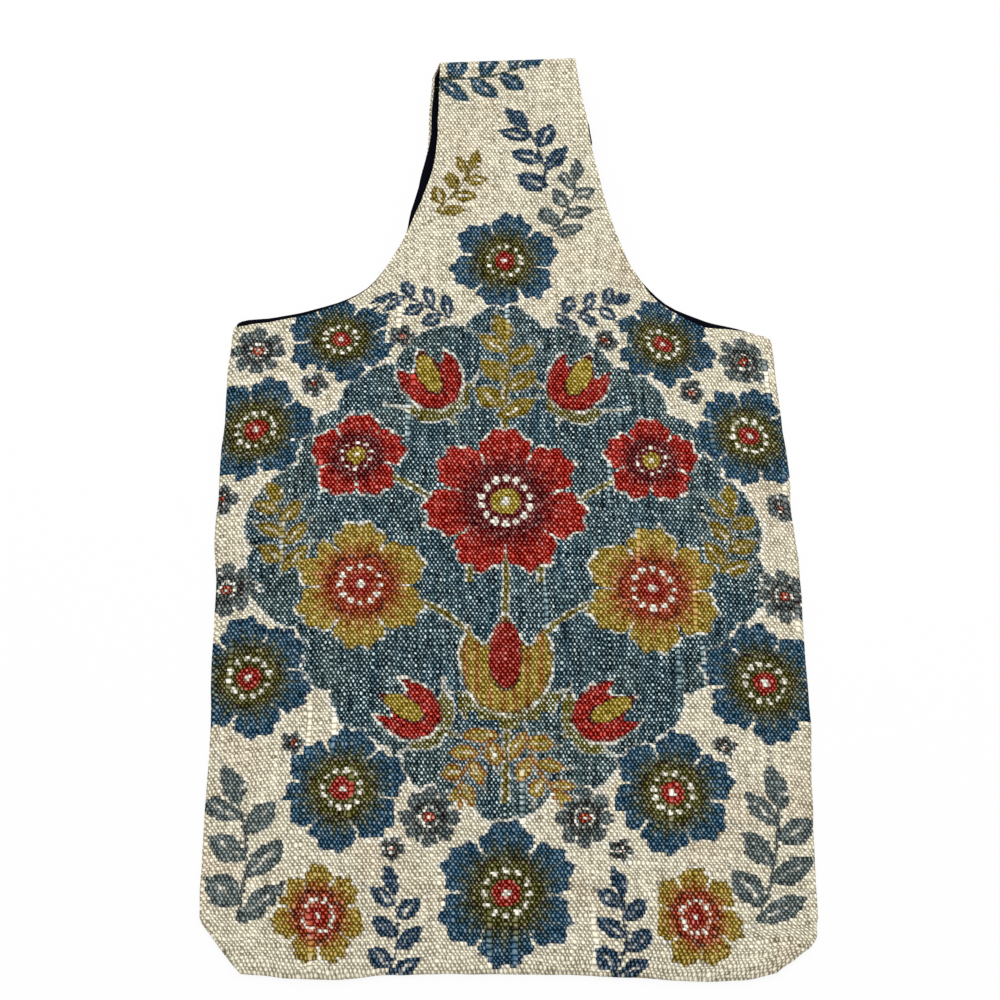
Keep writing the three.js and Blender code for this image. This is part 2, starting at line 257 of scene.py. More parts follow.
def front_level(x, y):
    """Middle of the outer front's thickness: rolled down to the back at the seams, else over its lining."""
    over_lining = PLY_STACK + linings_apart(x, y) + LINING_CLOTH + PLY_GAP + OUTER_CLOTH / 2
    inset = from_seam(x, y)
    rolled = np.sqrt(1 - (1 - np.clip(inset / EDGE_ROUND, 0, 1)) ** 2)
    ridge = SEAM_RIDGE * eased(inset, RIDGE_FROM_SEAM) * (y < BODY_HEIGHT)
    at_seam = OUTER_CLOTH * 1.5 + SEAM_AIR
    return mix(at_seam, over_lining, rolled) + ridge + ripples(x, y)


def laid(points):
    """The bag as it was laid: bowed sides, uneven shoulders, a skewed fold and slightly rough edges."""
    x, y, z = np.moveaxis(points, -1, 0)
    bow = np.where(x < 0, eased(y, LEFT_SIDE_BOW), eased(y, RIGHT_SIDE_BOW)) * eased(y, BOW_REGION)
    lift = np.where(x < 0, eased(-x, LEFT_SHOULDER_LIFT), eased(x, RIGHT_SHOULDER_LIFT))
    lift = lift * eased(y, SHOULDER_REGION)
    skew = (FOLD_SKEW * 2 * x / STRAP_WIDTH - FOLD_DROP) * eased(y, FOLD_REGION)
    at_side = np.clip(np.abs(x) / outline(y), 0, 1) ** WOBBLE_KEEP
    side_wobble = EDGE_WOBBLE * unevenness(y / WOBBLE_LENGTH, np.sign(x), 5.3) * at_side
    foot_wobble = EDGE_WOBBLE * unevenness(x / WOBBLE_LENGTH, 0 * y, 7.9) * eased(y, FOOT_EDGE)
    sag = eased(x, FOOT_SAG) * eased(y, FOOT_REGION)
    x = x * (1 + 2 * bow / BODY_WIDTH) + side_wobble
    return np.stack([x, y + lift + skew + sag + foot_wobble, z], -1)


def to_frame(points):
    """Millimetres up from the bottom seam, to metres in the frame."""
    return points * METRES_PER_MM + np.array([0, cad_box[0][1], 0])


def spread(start, *stretches):
    """Places along the cloth from a start: for each stretch, where it ends and how many steps it takes."""
    places = [np.array([start])]
    for end, steps in stretches:
        places.append(np.linspace(places[-1][-1], end, steps + 1)[1:])
    return np.concatenate(places)


def across(left, right, steps):
    """Places across each row: close together at its two edges, and even steps between."""
    near = np.array(EDGE_STEPS)
    from_left = near - left[:, None]
    from_right = right[:, None] - near[::-1]
    shares = np.linspace(0, 1, steps + 1)[1:-1]
    between = mix(from_left[:, -1:], from_right[:, :1], shares)
    return np.concatenate([from_left, between, from_right], 1)


def front_ply(stations, steps, fold, level, edge):
    """A front cut: up the body and the strap, round the fold and down to the join behind it."""
    turn = np.clip((stations - FOLD_LINE) / fold, 0, math.pi)
    past = np.maximum(stations - FOLD_LINE - math.pi * fold, 0)
    y = np.minimum(stations, FOLD_LINE) - past
    draw_in = FOLD_DRAW_IN * np.sin(turn) ** 2
    x = across(edge(y, -1, turn / math.pi) - draw_in, edge(y, 1, turn / math.pi) - draw_in, steps)
    rows = np.broadcast_to(y[:, None], x.shape)
    rounded = FOLD_RADIUS + np.cos(turn) * fold
    z = np.where(turn[:, None] > 0, rounded[:, None], level(x, rows))
    points = np.stack([x, rows + (np.sin(turn) * fold)[:, None], z], -1)
    return points, np.stack([x, np.broadcast_to(stations[:, None], x.shape)], -1)


def back_ply(stations, steps, level, edge):
    """A back cut: flat on the table from the bottom seam to the join behind the fold."""
    x = across(edge(stations, -1), edge(stations, 1), steps)
    y = np.broadcast_to(stations[:, None], x.shape)
    return np.stack([x, y, level(x, y)], -1), np.stack([x, y], -1)


def unit(vectors):
    return vectors / np.linalg.norm(vectors, axis=-1, keepdims=True)


def cloth_slab(name, middle, flat, thickness):
    """A cut of cloth with its thickness and a rounded edge all round, from the middle of its thickness.
    The map "cloth" holds its flat places in millimetres; "OFBake" lays its two faces side by side."""
    rows, columns = middle.shape[:2]
    along_row = unit(np.gradient(middle, axis=1))
    along_cut = unit(np.gradient(middle, axis=0))
    normal = unit(np.cross(along_row, along_cut))
    index = np.arange(rows * columns).reshape(rows, columns)
    ring = np.concatenate([index[0, :-1], index[:-1, -1], index[-1, :0:-1], index[:0:-1, 0]])
    outward = np.zeros_like(middle)
    outward[0] -= along_cut[0]
    outward[-1] += along_cut[-1]
    outward[:, 0] -= along_row[:, 0]
    outward[:, -1] += along_row[:, -1]
    middle = middle.reshape(-1, 3)
    normal = normal.reshape(-1, 3) * thickness / 2
    outward = outward.reshape(-1, 3) * thickness
    flat = flat.reshape(-1, 2)
    vertices = [middle + normal, middle - normal]
    places = [flat, flat]
    count = rows * columns
    loops = [ring]
    for number, turn in enumerate(RIM_TURNS):
        reach = outward[ring] * RIM_REACH * math.cos(turn)
        vertices.append(middle[ring] + normal[ring] * math.sin(turn) + reach)
        places.append(flat[ring] + reach[:, :2])
        loops.append(2 * count + number * len(ring) + np.arange(len(ring)))
    loops.append(ring + count)
    vertices = np.concatenate(vertices)
    places = np.concatenate(places)
    quads = np.stack([index[:-1, :-1], index[:-1, 1:], index[1:, 1:], index[1:, :-1]], -1).reshape(-1, 4)
    rim = [np.stack([np.roll(a, -1), a, b, np.roll(b, -1)], -1) for a, b in zip(loops, loops[1:])]
    upper = [quads] + rim[:len(rim) // 2]
    lower = [quads[:, ::-1] + count] + rim[len(rim) // 2:]
    faces = np.concatenate(upper + lower)
    is_lower = np.arange(len(faces)) >= sum(map(len, upper))
    mesh = bpy.data.meshes.new(name)
    mesh.from_pydata(to_frame(laid(vertices)).tolist(), [], faces.tolist())
    mesh.shade_smooth()
    mesh.uv_layers.new(name="cloth").data.foreach_set("uv", places[faces].ravel())
    low, high = places.min(0), places.max(0)
    half_map = np.array([0.5, 1]) - 2 * BAKE_MARGIN
    bake = BAKE_MARGIN + (places[faces] - low) / (high - low) * half_map
    bake[is_lower, :, 0] += 0.5
    mesh.uv_layers.new(name="OFBake").data.foreach_set("uv", bake.ravel())
    piece = bpy.data.objects.new(name, mesh)
    bpy.context.collection.objects.link(piece)
    return piece, places[faces].mean(1)


# The print on the outer cloth: a pointed slate field with a posy of blossoms and tulips on it,
# and blossoms and leaf sprigs strewn over the oatmeal ground. Each motif has its place on the cloth:
# kind, ink, petals, x, y, reach and the way that it points, in degrees from straight right.
BLOSSOM, SPRIG, TULIP = 1, 2, 3
RED, MUSTARD, BLUE, SLATE, NAVY, OLIVE = range(6)
INKS = 6
FIELD_CENTRE = 166
FIELD_HALF_WIDTH = 106
FIELD_HALF_HEIGHT = 112
MOTIF_MARGIN = 4
SPRIG_WIDTH = 0.62
motifs = [
    (BLOSSOM, RED, 7, 0, 186, 34, 90),
    (TULIP, MUSTARD, 3, 0, 120, 29, 90),
    (SPRIG, OLIVE, 0, 0, 248, 25, 90),
    (BLOSSOM, BLUE, 6, 0, 29, 28, 90),
    (BLOSSOM, BLUE, 6, 0, 300, 25, 80),
    (SPRIG, NAVY, 0, 13, 358, 26, 110),
    (SPRIG, OLIVE, 0, -19, 340, 19, 60),
    (SPRIG, SLATE, 0, 28, 333, 21, 72),
    (SPRIG, BLUE, 0, -4, 402, 26, 15),
]
for side in (-1, 1):
    motifs += [
        (BLOSSOM, MUSTARD, 6, side * 57, 149, 28, 90),
        (BLOSSOM, RED, 5, side * 59, 205, 20, 90),
        (TULIP, RED, 3, side * 31, 243, 21, 90 - 25 * side),
        (SPRIG, OLIVE, 0, side * 89, 176, 20, 90 - 10 * side),
        (TULIP, RED, 3, side * 39, 99, 19, 90 - 60 * side),
        (SPRIG, MUSTARD, 0, side * 14, 74, 18, 270 + 30 * side),
        (BLOSSOM, BLUE, 6, side * 101, 219, 25, 70),
        (BLOSSOM, BLUE, 6, side * 68, 262, 24, 100),
        (BLOSSOM, BLUE, 6, side * 99, 112, 26, 100),
        (BLOSSOM, BLUE, 6, side * 62, 67, 25, 80),
        (BLOSSOM, SLATE, 8, side * 102, 254, 12, 0),
        (BLOSSOM, SLATE, 8, side * 109, 149, 12, 0),
        (BLOSSOM, SLATE, 8, side * 29, 57, 12, 0),
        (BLOSSOM, MUSTARD, 7, side * 70, 22, 18, 90),
        (SPRIG, SLATE, 0, side * 100, 49, 30, 90 - 8 * side),
        (SPRIG, NAVY, 0, side * 42, 19, 20, 90),
        (SPRIG, NAVY, 0, side * 39, 278, 18, 90 - 70 * side),
        (BLOSSOM, SLATE, 5, side * 82, 85, 5, 0),
        (BLOSSOM, SLATE, 5, side * 78, 238, 6, 0),
        (BLOSSOM, SLATE, 5, side * 112, 188, 7, 0),
        (BLOSSOM, SLATE, 5, side * 43, 261, 6, 0),
        (BLOSSOM, SLATE, 5, side * 43, 45, 5, 0),
    ]
motifs = np.array(motifs, float)


def stamp_motifs(mesh, centres):
    """Gives each face of a cut the motif that it lies in, if any, for the material to draw."""
    kind, ink, petals, x, y, size, turn = motifs.T
    turn = np.radians(turn)
    offset = centres[:, None, :] - np.stack([x, y], -1)
    along = offset[..., 0] * np.cos(turn) + offset[..., 1] * np.sin(turn)
    aside = np.abs(offset[..., 1] * np.cos(turn) - offset[..., 0] * np.sin(turn))
    reach = np.where(kind == SPRIG, np.maximum(np.abs(along), aside / SPRIG_WIDTH), np.hypot(along, aside))
    share = reach / (size + MOTIF_MARGIN)
    nearest = share.argmin(1)
    drawn = share[np.arange(len(centres)), nearest] < 1
    place = np.stack([x, y, turn], -1)[nearest]
    form = np.stack([kind, petals, (ink + 0.5) / INKS], -1)[nearest] * drawn[:, None]
    mesh.attributes.new("motif_place", "FLOAT_VECTOR", "FACE").data.foreach_set("vector", place.ravel())
    mesh.attributes.new("motif_form", "FLOAT_VECTOR", "FACE").data.foreach_set("vector", form.ravel())
    mesh.attributes.new("motif_size", "FLOAT", "FACE").data.foreach_set("value", size[nearest])


class Wire:
    """A value in a material's nodes. Arithmetic on it adds Math nodes."""

    def __init__(self, tree, socket=None):
        self.tree = tree
        self.socket = socket

    def node(self, kind, settings=None, inputs=None, output=0):
        """Adds a node: its type, its settings, its sockets by name or number, and the output to use."""
        made = self.tree.nodes.new(kind)
        for name, value in (settings or {}).items():
            if name == "stops":
                ramp = made.color_ramp
                ramp.interpolation = "CONSTANT"
                for place, colour in value[1:]:
                    ramp.elements.new(place).color = (*colour, 1)
                ramp.elements[0].color = (*value[0][1], 1)
                ramp.elements.remove(ramp.elements[-1])
            else:
                setattr(made, name, value)
        for name, value in (inputs or {}).items():
            if isinstance(value, Wire):
                self.tree.links.new(value.socket, made.inputs[name])
            else:
                made.inputs[name].default_value = value
        return Wire(self.tree, made.outputs[output])

    def math(self, operation, *others):
        return self.node("ShaderNodeMath", {"operation": operation}, dict(enumerate((self, *others))))

    def reflected(self, operation, other):
        return self.node("ShaderNodeMath", {"operation": operation}, {0: other, 1: self})

    def split(self):
        made = self.node("ShaderNodeSeparateXYZ", {}, {0: self}).socket.node
        return tuple(Wire(self.tree, socket) for socket in made.outputs)

    def step(self, low, high):
        """A soft step from 0 at low to 1 at high."""
        settings = {"interpolation_type": "SMOOTHSTEP"}
        return self.node("ShaderNodeMapRange", settings, {0: self, 1: low, 2: high})

    def within(self, low, high):
        return self.math("MAXIMUM", low).math("MINIMUM", high)

    def paint(self, ink, mask):
        """This colour with another over it where the mask is 1."""
        return self.node("ShaderNodeMix", {"data_type": "RGBA"}, {0: mask, 6: self, 7: ink}, 2)

    def feed(self, socket):
        self.tree.links.new(self.socket, socket)

    def __add__(self, other):
        return self.math("ADD", other)

    def __sub__(self, other):
        return self.math("SUBTRACT", other)

    def __mul__(self, other):
        return self.math("MULTIPLY", other)

    def __truediv__(self, other):
        return self.math("DIVIDE", other)

    def __pow__(self, other):
        return self.math("POWER", other)

    def __rsub__(self, other):
        return self.reflected("SUBTRACT", other)

    def __lt__(self, other):
        return self.math("LESS_THAN", other)

    def __gt__(self, other):
        return self.math("GREATER_THAN", other)

    def __abs__(self):
        return self.math("ABSOLUTE")

    __radd__ = __add__
    __rmul__ = __mul__


def new_material(name):
    material = bpy.data.materials.new(name)
    material.use_nodes = True
    return material, Wire(material.node_tree), material.node_tree.nodes["Principled BSDF"]


def plain(pen, colour):
    made = pen.node("ShaderNodeRGB")
    made.socket.default_value = colour
    return made


def streaks(u, v, across_mm, along_mm, detail):
    """Noise with its own grain along the warp and the weft."""
    stretched = u.node("ShaderNodeCombineXYZ", {}, {0: u / across_mm, 1: v / along_mm})
    inputs = {"Vector": stretched, "Scale": 1.0, "Detail": detail}
    return u.node("ShaderNodeTexNoise", {"noise_dimensions": "2D"}, inputs)


OATMEAL = (0.90, 0.845, 0.660, 1)
OATMEAL_TAN = (0.84, 0.705, 0.525, 1)
RESIST_WHITE = (0.92, 0.89, 0.78, 1)
FIELD_SLATE = (0.106, 0.172, 0.184, 1)
FIELD_PALE = (0.62, 0.73, 0.71, 1)
FIELD_BLUE = (0.042, 0.120, 0.175, 1)
FIELD_DARK = (0.010, 0.026, 0.042, 1)
INK_COLOURS = [(0.56, 0.025, 0.012), (0.50, 0.365, 0.058), (0.038, 0.130, 0.220),
               (0.185, 0.235, 0.235), (0.048, 0.110, 0.190), (0.370, 0.270, 0.028)]
BASE_COLOURS = [(0.200, 0.010, 0.014), (0.460, 0.070, 0.018), (0.120, 0.115, 0.016),
                (0.075, 0.100, 0.098), (0.018, 0.045, 0.085), (0.170, 0.130, 0.016)]
EYE_COLOURS = [(0.50, 0.370, 0.045), (0.46, 0.030, 0.018), (0.46, 0.030, 0.018),
               (0.44, 0.060, 0.020), (0.50, 0.370, 0.045), (0.50, 0.370, 0.045)]
LEAF_GREEN = (0.240, 0.200, 0.024, 1)
OUTLINE_COLOUR = (0.050, 0.012, 0.020, 1)
# Painted shade in the gaps between the yarns: the print's colour raised to a power that deepens it, times
# this shade.
PIT_SHADE = (0.20, 0.185, 0.165)
GAP_SHADE_GAMMA = 1.5
WARP_PITCH = 0.84
WEFT_PITCH = 1.20
PICKS_AT_FOOT = 1.04
PICKS_EASE = 0.0003
WANDER = (2.4, 2.4, 0)
WANDER_LENGTH = 26
WARP_JOSTLE = 1.3
WEFT_JOSTLE = 1.5
SUNKEN_OVER = 0.88
SLUB_OVER = 0.98
SLUB_WIDTH = 2.4
SLUB_LENGTH = 26
CROWN_BUMP = 0.0004
PRINT_FOLLOW = 0.6
PRINT_STRAY = 0.7

# The posy's bowed stems: how far out and how high the middle of each arc lies, and its radius.
LOW_STEM = (53, 93, 53)
HIGH_STEM = (62, 151, 48)
MID_STEM_FOOT = 62
MID_STEM_TOP = 250
OFF_STEM = 9


def ink_ramp(fac, colours):
    stops = [(place / len(colours), colour) for place, colour in enumerate(colours)]
    return fac.node("ShaderNodeValToRGB", {"stops": stops}, {0: fac})


def length(x, y):
    return (x * x + y * y).math("SQRT")


def from_arc(out, y, centre_out, centre_y, radius):
    """Distance from the quarter circle that bows up and out from the middle stem."""
    past_end = (out > centre_out) + (y < centre_y)
    return abs(length(out - centre_out, y - centre_y) - radius) + past_end * OFF_STEM


def paint_field(colour, x, y, grain_u, grain_v):
    """The pointed slate field: scalloped edge, darker heart, streaks of blue and the posy's stems."""
    field_x = x / FIELD_HALF_WIDTH
    field_y = (y - FIELD_CENTRE) / FIELD_HALF_HEIGHT
    around = field_y.math("ARCTAN2", field_x)
    reach = (abs(field_x) ** 1.5 + abs(field_y) ** 1.5) ** (1 / 1.5)
    scallop = abs((around * 9).math("SINE")) ** 0.7
    from_edge = (reach - 0.93 - scallop * 0.065) * 100
    field = from_edge.step(0.3, -0.3)
    blotch = streaks(grain_u, grain_v, 24, 30, 2.0).step(0.42, 0.62)
    dashes = streaks(grain_u, grain_v, 1.8, 16, 1.0).step(0.53, 0.65)
    colour = colour.paint(RESIST_WHITE, from_edge.step(2.4, 1.7) * 0.8)
    colour = colour.paint(FIELD_SLATE, field)
    colour = colour.paint(FIELD_BLUE, field * blotch * 0.75)
    colour = colour.paint(FIELD_BLUE, reach.step(0.72, 0.66) * 0.5)
    colour = colour.paint(FIELD_DARK, field * dashes * 0.7)
    out = abs(x)
    low_stem = from_arc(out, y, *LOW_STEM)
    high_stem = from_arc(out, y, *HIGH_STEM)
    mid_stem = out + ((y < MID_STEM_FOOT) + (y > MID_STEM_TOP)) * OFF_STEM
    from_stem = low_stem.math("MINIMUM", high_stem).math("MINIMUM", mid_stem)
    colour = colour.paint(RESIST_WHITE, from_stem.step(1.9, 1.4) * field * 0.8)
    stem = from_stem.step(1.1, 0.7) * field
    return colour.paint(LEAF_GREEN, stem), field - stem


def paint_blossom(colour, open_field, motif):
    """Rounded, toothed petals, a second whorl between them, and an eye in a ring of dots."""
    on = abs(motif.kind - BLOSSOM) < 0.5
    radius = length(motif.along, motif.aside)
    angle = motif.aside.math("ARCTAN2", motif.along) * motif.petals / (2 * math.pi)
    from_axis = abs(angle - (angle + 0.5).math("FLOOR")) * 2
    lobe = (1 - from_axis * from_axis).math("SQRT")
    inner_lobe = (from_axis * (2 - from_axis)).math("SQRT")
    teeth = (from_axis * 11).math("COSINE") * 0.035
    from_petal = (radius - 0.60 - lobe * 0.34 + teeth) * motif.size
    from_whorl = (radius - 0.30 - inner_lobe * 0.17) * motif.size
    gap_line = (1 - from_axis) * radius * motif.size * 3.1 / motif.petals
    vein = (angle * (8 * math.pi)).math("COSINE").step(0.55, 0.85) * radius.step(0.90, 0.55)
    dot_turn = angle * 2
    dot_aside = (dot_turn - (dot_turn + 0.5).math("FLOOR")) * 0.95 / motif.petals
    from_dot = length(radius - 0.29, dot_aside)
    petal = from_petal.step(0.3, -0.3) * on
    whorl = from_whorl.step(0.3, -0.3) * on
    colour = colour.paint(RESIST_WHITE, from_petal.step(1.5, 1.0) * on * motif.resist)
    colour = colour.paint(motif.ink, petal)
    colour = colour.paint(motif.base, petal * radius.step(0.74, 0.38) * 0.9)
    colour = colour.paint(OUTLINE_COLOUR, petal * from_petal.step(-1.3, -0.5) * 0.35)
    colour = colour.paint(motif.base, petal * vein * 0.7)
    colour = colour.paint(RESIST_WHITE, petal * gap_line.step(0.6, 0.3) * radius.step(0.5, 0.66))
    colour = colour.paint(OUTLINE_COLOUR, from_whorl.step(0.9, 0.4) * on * 0.75)
    colour = colour.paint(motif.base, whorl)
    colour = colour.paint(RESIST_WHITE, from_dot.step(0.055, 0.035) * on)
    colour = colour.paint(motif.eye, radius.step(0.19, 0.16) * on)
    return colour.paint(RESIST_WHITE, radius.step(0.07, 0.04) * on), open_field * (1 - petal)


def paint_sprig(colour, open_field, motif):
    """Full leaves set turn about on a bowed stem, with one at its tip and a pale vein in each."""
    on = abs(motif.kind - SPRIG) < 0.5
    along = motif.along
    bowed = motif.aside - (along * along - 0.35) * 0.2
    stagger = along + 0.82 + (bowed < 0) * 0.2
    leaf_number = (stagger / 0.52).math("FLOOR")
    leaf_x = stagger - leaf_number * 0.52 - 0.03
    leaf_y = abs(bowed)
    leaf_along = leaf_x * 0.60 + leaf_y * 0.80
    leaf_aside = abs(leaf_y * 0.60 - leaf_x * 0.80)
    leaf_length = 0.60 - along * 0.08
    leaf_share = (leaf_along / leaf_length).within(0.0, 1.0)
    off_stem = (leaf_number > 2.5) + (leaf_number < -0.5)
    side_leaf = leaf_aside - leaf_length * leaf_share * (1 - leaf_share) * 1.05 + off_stem
    tip_share = ((along - 0.42) / 0.58).within(0.0, 1.0)
    tip_leaf = leaf_y - tip_share * (1 - tip_share) * 0.64
    stem = leaf_y - 0.022 + along.step(0.5, 0.6) + along.step(-0.96, -1.0)
    from_leaf = side_leaf.math("MINIMUM", tip_leaf).math("MINIMUM", stem) * motif.size
    vein_length = leaf_share.step(0.12, 0.25) * leaf_share.step(0.8, 0.6)
    vein = (leaf_aside * motif.size).step(0.9, 0.4) * vein_length
    leaf = from_leaf.step(0.3, -0.3) * on
    colour = colour.paint(RESIST_WHITE, from_leaf.step(1.2, 0.8) * on * 0.35)
    colour = colour.paint(motif.ink, leaf)
    colour = colour.paint(motif.base, leaf * from_leaf.step(-1.0, -0.4) * 0.6)
    return colour.paint(RESIST_WHITE, leaf * vein * (0.15 + motif.resist * 0.65)), open_field * (1 - leaf)


def paint_tulip(colour, open_field, motif):
    """A cup with three tips, a flame in its middle petal and two leaves at its foot."""
    on = abs(motif.kind - TULIP) < 0.5
    along, aside = motif.along, motif.aside
    cup = (length(aside / 0.60, (along + 0.05) / 0.74) - 1) * 0.6
    tips = along - 0.36 - (aside * 10.4).math("COSINE") * 0.22
    from_cup = cup.math("MAXIMUM", tips) * motif.size
    from_flame = (length(aside / 0.20, (along - 0.02) / 0.46) - 1) * motif.size * 0.2
    foot_x = along + 0.98
    foot_y = abs(aside)
    foot_share = ((foot_x * 0.55 + foot_y * 0.83) / 0.85).within(0.0, 1.0)
    foot_leaf = abs(foot_y * 0.55 - foot_x * 0.83) - foot_share * (1 - foot_share) * 0.75
    from_foot = foot_leaf.math("MINIMUM", foot_y - 0.03 + along.step(-0.7, -0.6)) * motif.size
    cup_mask = from_cup.step(0.3, -0.3) * on
    colour = colour.paint(RESIST_WHITE, from_foot.step(1.2, 0.8) * on * 0.7)
    colour = colour.paint(LEAF_GREEN, from_foot.step(0.3, -0.3) * on)
    colour = colour.paint(RESIST_WHITE, from_cup.step(1.5, 1.0) * on * motif.resist)
    colour = colour.paint(motif.ink, cup_mask)
    colour = colour.paint(motif.base, cup_mask * (aside * 38).math("SINE").step(0.3, 0.8) * 0.55)
    colour = colour.paint(OUTLINE_COLOUR, cup_mask * from_cup.step(-1.1, -0.5) * 0.5)
    colour = colour.paint(OUTLINE_COLOUR, cup_mask * from_flame.step(0.8, 0.4) * 0.8)
    return colour.paint(motif.eye, cup_mask * from_flame.step(0.2, -0.2)), open_field * (1 - cup_mask)


def stamped(pen, name, output):
    """What stamp_motifs gave this face."""
    return pen.node("ShaderNodeAttribute", {"attribute_name": name}, {}, output)


def printed_cloth():
    """Coarse plain weave with the print on its yarn crowns and the ground showing through, and painted
    shade in the gaps between the yarns.
    """
    material, pen, shader = new_material("printed_cloth")
    cloth = pen.node("ShaderNodeUVMap", {"uv_map": "cloth"})
    inputs = {"Vector": cloth, "Scale": 1 / WANDER_LENGTH, "Detail": 2.0}
    wander = pen.node("ShaderNodeTexNoise", {"noise_dimensions": "2D"}, inputs, "Color")
    inputs = {0: wander, 1: WANDER, 2: cloth}
    u, v, _ = pen.node("ShaderNodeVectorMath", {"operation": "MULTIPLY_ADD"}, inputs).split()
    u = u + (streaks(u, v, 2.2, 14, 1.0) - 0.5) * WARP_JOSTLE
    v = v + (streaks(u, v, 14, 2.6, 1.0) - 0.5) * WEFT_JOSTLE

    # Yarns: staggered crowns where the warp passes over, on thick and thin yarns, no two quite alike.
    # Each crossing has its own number, and from it its own chance values. The weft's picks lie closer
    # together at the foot than on the strap.
    warp_slub = streaks(u, v, 1.3, 46, 2.0)
    weft_slub = streaks(u, v, 34, 1.9, 1.0)
    picks = v * (PICKS_AT_FOOT - v * PICKS_EASE)
    weft_number = (picks / WEFT_PITCH).math("FLOOR")
    stagger = (weft_number / 2).math("FRACT")
    warp_number = (u / (2 * WARP_PITCH) + stagger).math("FLOOR")
    crossing = pen.node("ShaderNodeCombineXYZ", {}, {0: warp_number, 1: weft_number})
    chance = pen.node("ShaderNodeTexWhiteNoise", {"noise_dimensions": "2D"}, {"Vector": crossing}, "Color")
    stray_x, stray_y, fill = chance.split()
    warp_turn = u * (math.pi / WARP_PITCH)
    weft_turn = picks * (math.pi / WEFT_PITCH)
    over_warp = warp_turn.math("COSINE")
    over_weft = weft_turn.math("SINE")
    slanted = (weft_turn + warp_turn).math("SINE") * 0.62 + (weft_turn - warp_turn).math("SINE") * 0.40
    weave = over_warp * over_warp * 0.5 + over_weft * over_weft * 0.7 - slanted - 0.6
    sunken = stray_x * stray_y > SUNKEN_OVER
    yarn = weave + (warp_slub - 0.5) * 0.6 + (weft_slub - 0.5) * 0.3 + (fill - 0.5) * 0.5 - sunken * 0.65

    # Here and there a thick warp yarn stands out for a short way as a column of bumps.
    column = (u / SLUB_WIDTH).math("FLOOR")
    stretch = (v / SLUB_LENGTH).math("FLOOR")
    place = pen.node("ShaderNodeCombineXYZ", {}, {0: column, 1: stretch})
    slub_chance = pen.node("ShaderNodeTexWhiteNoise", {"noise_dimensions": "2D"}, {"Vector": place})
    from_end = 0.5 - abs(v / SLUB_LENGTH - stretch - 0.5)
    from_middle = abs(u / SLUB_WIDTH - column - 0.5) * 2
    slub = (slub_chance > SLUB_OVER) * from_end.step(0.0, 0.2) * 0.7
    bump = abs((weft_turn / 2).math("SINE")) ** 0.6 * (1 - from_middle ** 4)
    crown = mix(yarn, bump * 2 - 0.9, slub).step(-1.05, 0.85)

    # The print follows the yarns, so its edges break up at the scale of the weave.
    crossing_u = (warp_number - stagger + 0.5) * (2 * WARP_PITCH)
    x = mix(u, crossing_u, PRINT_FOLLOW) + (stray_x - 0.5) * PRINT_STRAY
    from_pick = (weft_number + 0.5) * WEFT_PITCH - picks
    y = v + from_pick * PRINT_FOLLOW + (stray_y - 0.5) * PRINT_STRAY
    colour = plain(pen, OATMEAL).paint(OATMEAL_TAN, streaks(u, v, 30, 40, 3.0).step(0.45, 0.75) * 0.5)
    colour, open_field = paint_field(colour, x, y, u, v)

    # The motif of this face in its own places: 1 is its reach, along its axis and aside.
    motif_x, motif_y, turn = stamped(pen, "motif_place", "Vector").split()
    kind, petals, ink_place = stamped(pen, "motif_form", "Vector").split()
    size = stamped(pen, "motif_size", "Fac")
    off_x = (x - motif_x) / size
    off_y = (y - motif_y) / size
    cosine = turn.math("COSINE")
    sine = turn.math("SINE")
    motif = SimpleNamespace(
        kind=kind, petals=petals, size=size, resist=streaks(u, v, 7, 9, 1.0).step(0.34, 0.60),
        along=off_x * cosine + off_y * sine, aside=off_y * cosine - off_x * sine,
        ink=ink_ramp(ink_place, INK_COLOURS), base=ink_ramp(ink_place, BASE_COLOURS),
        eye=ink_ramp(ink_place, EYE_COLOURS))
    for paint_motif in (paint_blossom, paint_sprig, paint_tulip):
        colour, open_field = paint_motif(colour, open_field, motif)

    # Bare yarn shows on the crowns in the field's streaks, and a little wherever there is ink. The crowns
    # carry the lit colour, and the gaps between the yarns carry painted shade, which also deepens the
    # colour, as the light there meets the cloth more than once.
    strie = streaks(u, v, 1.0, 30, 3.0).step(0.38, 0.66)
    bare = 0.05 + fill ** 2 * 0.18 + open_field * (strie * 0.58 + (fill > 0.72) * 0.22)
    bare_yarn = plain(pen, RESIST_WHITE).paint(FIELD_PALE, open_field)
    lit = colour.paint(bare_yarn, crown ** 6 * bare)
    shade = warp_slub * 0.20 + fill * 0.10 + slub * 0.03 + 0.95
    lit = lit.node("ShaderNodeVectorMath", {"operation": "SCALE"}, {0: lit, "Scale": shade})
    gap_shade_colour = colour.node("ShaderNodeGamma", {}, {0: colour, 1: GAP_SHADE_GAMMA})
    gap_shade_colour = gap_shade_colour.node("ShaderNodeVectorMath", {"operation": "MULTIPLY"}, {0: gap_shade_colour, 1: PIT_SHADE})
    paleness = colour.node("ShaderNodeRGBToBW", {}, {0: colour})
    gap_shade_colour.paint(lit, crown ** (1.9 - paleness * 1.15)).feed(shader.inputs["Base Color"])
    inputs = {"Strength": 0.7, "Distance": CROWN_BUMP, "Height": crown}
    pen.node("ShaderNodeBump", {}, inputs).feed(shader.inputs["Normal"])
    shader.inputs["Roughness"].default_value = 0.92
    shader.inputs["Specular IOR Level"].default_value = 0.02
    return material


# The cuts themselves: rows lie closer together at the foot, the shoulders and the fold.
JOIN_HALF = 0.45
OUTER_COLUMNS = 54
BACK_SEAM_LIFT = 0.1
BACK_SEAM_REACH = 3
BODY_STRETCHES = [(place, 1) for place in EDGE_STEPS[1:]]
BODY_STRETCHES += [(CORNER_HEIGHT, 6), (250, 66), (264, 6), (BODY_HEIGHT, 6), (275, 12), (BEND_LINE, 18)]


def back_level(x, y):
    """Middle of the outer back's thickness: flat on the table, a little raised at its seams."""
    return OUTER_CLOTH / 2 + BACK_SEAM_LIFT * (1 - smooth(from_seam(x, y) / BACK_SEAM_REACH))


